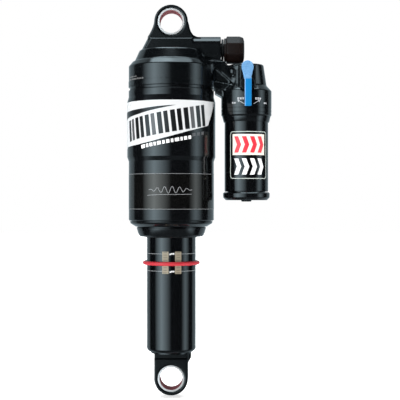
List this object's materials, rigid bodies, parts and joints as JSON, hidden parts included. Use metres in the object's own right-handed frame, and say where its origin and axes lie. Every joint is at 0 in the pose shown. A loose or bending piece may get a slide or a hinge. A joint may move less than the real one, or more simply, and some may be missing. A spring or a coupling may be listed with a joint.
{
  "type": "bicycle rear shock",
  "caption": "Air-sprung bicycle rear shock with a side reservoir, a compression lever and bushed mounting eyes at both ends.",
  "frame": {"origin": "centre of the upper mounting eye, on the shock's axis", "axes": "+Z along the stroke, from the lower eye to the upper; +Y along the bolts of both eyes, away from the lever; +X towards the reservoir"},
  "size_m": [0.0816, 0.05, 0.219],
  "materials": {
    "black_forging": "satin black anodise over forged aluminium",
    "black_anodised": "gloss black anodise",
    "chromed_shaft": "ground and chromed",
    "steel": "turned",
    "bare_aluminium": "machined",
    "brass": "machined",
    "seal_rubber": "matt",
    "red_rubber": "smooth",
    "bush_liner": "dusty rolled liner",
    "bearing_plastic": "filled PTFE",
    "blue_anodised": "blue anodise",
    "red_anodised": "red anodise",
    "black_plastic": "moulded"
  },
  "bodies": {
    "head": {"head_forging": "black_forging", "upper_bush": "bush_liner", "air_can": "black_anodised", "outer_sleeve": "black_anodised", "sleeve_o_ring_upper": "seal_rubber", "sleeve_o_ring_lower": "seal_rubber", "can_o_ring": "seal_rubber", "can_end_cap": "black_anodised", "can_glide_bush": "bearing_plastic", "can_air_seal": "seal_rubber", "wiper_seal": "seal_rubber", "bottom_out_bumper": "seal_rubber", "damper_shaft": "chromed_shaft", "damper_piston": "bare_aluminium", "piston_band": "bearing_plastic", "compression_shims": "steel", "rebound_shims": "steel", "piston_nut": "steel", "air_valve_body": "brass", "air_valve_core": "brass", "detent_ball": "steel", "detent_spring": "steel", "base_valve_piston": "bare_aluminium", "base_valve_shims": "steel", "base_valve_bolt": "steel", "reservoir_tube": "black_anodised", "reservoir_o_ring": "seal_rubber", "reservoir_cap": "black_anodised", "reservoir_cap_o_ring": "seal_rubber", "fill_screw": "steel"},
    "damper": {"damper_tube": "black_anodised", "air_piston": "bare_aluminium", "air_piston_seal": "seal_rubber", "air_piston_glide_ring": "bearing_plastic", "shaft_bush": "bearing_plastic", "lower_eyelet": "black_forging", "bleed_screw": "steel", "lower_bush": "bush_liner"},
    "sag_ring": {"sag_ring": "red_rubber"},
    "floating_piston": {"floating_piston": "bare_aluminium", "floating_piston_o_ring": "seal_rubber"},
    "lever": {"compression_lever": "blue_anodised", "lever_spindle": "black_anodised", "spindle_o_ring": "seal_rubber"},
    "valve_cap": {"air_valve_cap": "black_plastic"},
    "valve_pin": {"air_valve_pin": "brass"},
    "rebound_knob": {"rebound_knob": "red_anodised", "rebound_cam": "steel", "rebound_knob_screw": "steel"},
    "rebound_rod": {"rebound_rod": "bare_aluminium"}
  },
  "joints": [
    {"name": "shock_travel", "type": "slide", "parent": "head", "child": "damper", "axis": [0, 0, 1], "range_m": [0, 0.057], "stiffness_N_per_m": 3000, "springref_m": -0.02},
    {"name": "sag_ring_slide", "type": "slide", "parent": "damper", "child": "sag_ring", "axis": [0, 0, 1], "range_m": [-0.0445, 0.001]},
    {"name": "floating_piston_slide", "type": "slide", "parent": "head", "child": "floating_piston", "axis": [0, 0, 1], "range_m": [-0.0123, 0.001]},
    {"name": "compression_lever_turn", "type": "hinge", "parent": "head", "child": "lever", "pos_m": [0.0424, -0.0154, -0.0356], "axis": [0, 1, 0], "range_deg": [-32, 32]},
    {"name": "valve_cap_pull", "type": "slide", "parent": "head", "child": "valve_cap", "axis": [1, 0, 0], "range_m": [0, 0.012]},
    {"name": "valve_pin_press", "type": "slide", "parent": "head", "child": "valve_pin", "axis": [-1, 0, 0], "range_m": [0, 0.001], "stiffness_N_per_m": 100, "springref_m": -0.002},
    {"name": "rebound_knob_turn", "type": "hinge", "parent": "head", "child": "rebound_knob", "pos_m": [0, 0.0081, -0.015], "axis": [0, 1, 0], "range_deg": [0, 180]},
    {"name": "rebound_rod_slide", "type": "slide", "parent": "head", "child": "rebound_rod", "axis": [0, 0, 1], "range_m": [-0.0012, 0]}
  ],
  "couplings": [
    {"joint": "sag_ring_slide", "follows": "shock_travel", "ratio": -0.777},
    {"joint": "floating_piston_slide", "follows": "shock_travel", "ratio": -0.2143},
    {"joint": "rebound_knob_turn", "follows": "rebound_rod_slide", "rad_per_m": -2618}
  ]
}
